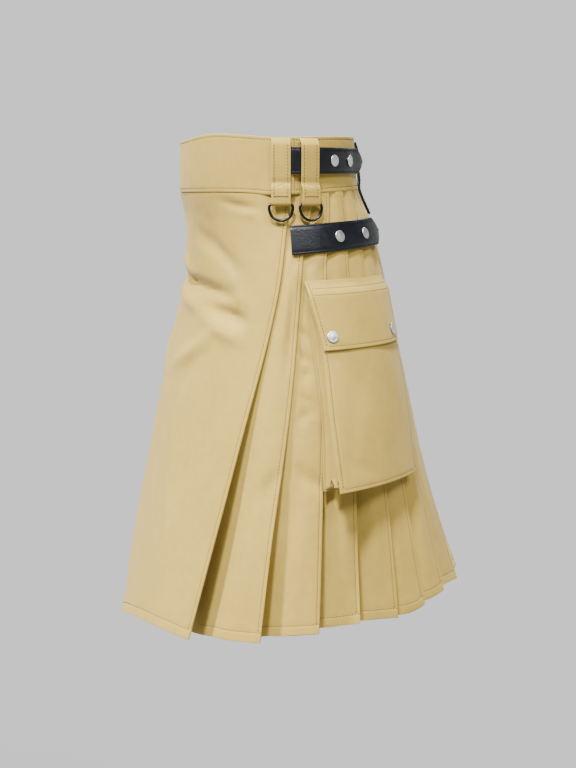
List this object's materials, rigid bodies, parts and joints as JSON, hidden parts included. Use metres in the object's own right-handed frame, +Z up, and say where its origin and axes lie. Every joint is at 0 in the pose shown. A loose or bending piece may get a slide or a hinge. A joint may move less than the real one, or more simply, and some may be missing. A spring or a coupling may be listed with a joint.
{
  "type": "gothic kilt",
  "caption": "Hollow worn wrap kilt in khaki twill with knife pleats, leather side straps, D-ring belt loops and bellows hip pockets with snap flaps.",
  "frame": {"origin": "middle of the waist at half the waistband's height, where the wearer's waist holds the kilt", "axes": "+Z up, the front faces -Y, +X is the wearer's left"},
  "size_m": [0.5058, 0.4525, 0.6474],
  "materials": {
    "twill": "khaki cotton twill with a slight sheen",
    "strap_leather": "black grained leather, semi-gloss",
    "stud_metal": "polished nickel",
    "ring_metal": "black nickel, glossy"
  },
  "bodies": {
    "kilt": {"apron_outer": "twill", "apron_under": "twill", "waistband_apron": "twill", "waistband_back": "twill", "waistband_under": "twill", "pleats_left": "twill", "pleats_right": "twill", "loop_left_front": "twill", "loop_left_rear": "twill", "loop_right_front": "twill", "loop_right_rear": "twill", "pocket_back_left": "twill", "pocket_back_right": "twill", "pocket_front_left": "twill", "pocket_front_right": "twill", "pocket_gusset_left": "twill", "pocket_gusset_right": "twill", "pocket_flap_left": "twill", "pocket_flap_right": "twill", "strap_waist_left": "strap_leather", "strap_waist_right": "strap_leather", "strap_hip_left": "strap_leather", "strap_hip_right": "strap_leather", "back_loop_left": "strap_leather", "back_loop_right": "strap_leather", "stud_waist_left_1": "stud_metal", "stud_waist_left_2": "stud_metal", "stud_waist_right_1": "stud_metal", "stud_waist_right_2": "stud_metal", "stud_hip_left_1": "stud_metal", "stud_hip_left_2": "stud_metal", "stud_hip_right_1": "stud_metal", "stud_hip_right_2": "stud_metal", "stud_flap_left_1": "stud_metal", "stud_flap_left_2": "stud_metal", "stud_flap_right_1": "stud_metal", "stud_flap_right_2": "stud_metal"},
    "ring_left_front": {"ring_left_front": "ring_metal"},
    "ring_left_rear": {"ring_left_rear": "ring_metal"},
    "ring_right_front": {"ring_right_front": "ring_metal"},
    "ring_right_rear": {"ring_right_rear": "ring_metal"}
  },
  "joints": [
    {"name": "swing_left_front", "type": "hinge", "parent": "kilt", "child": "ring_left_front", "pos_m": [0.15558, -0.02567, -0.0501], "axis": [-0.2553, -0.9669, 0], "range_deg": [0, 140]},
    {"name": "swing_left_rear", "type": "hinge", "parent": "kilt", "child": "ring_left_rear", "pos_m": [0.15859, 0.01173, -0.04995], "axis": [0.1354, -0.9908, 0], "range_deg": [0, 140]},
    {"name": "swing_right_front", "type": "hinge", "parent": "kilt", "child": "ring_right_front", "pos_m": [-0.15558, -0.02567, -0.0501], "axis": [-0.2553, 0.9669, 0], "range_deg": [0, 140]},
    {"name": "swing_right_rear", "type": "hinge", "parent": "kilt", "child": "ring_right_rear", "pos_m": [-0.15859, 0.01173, -0.04995], "axis": [0.1354, 0.9908, 0], "range_deg": [0, 140]}
  ]
}
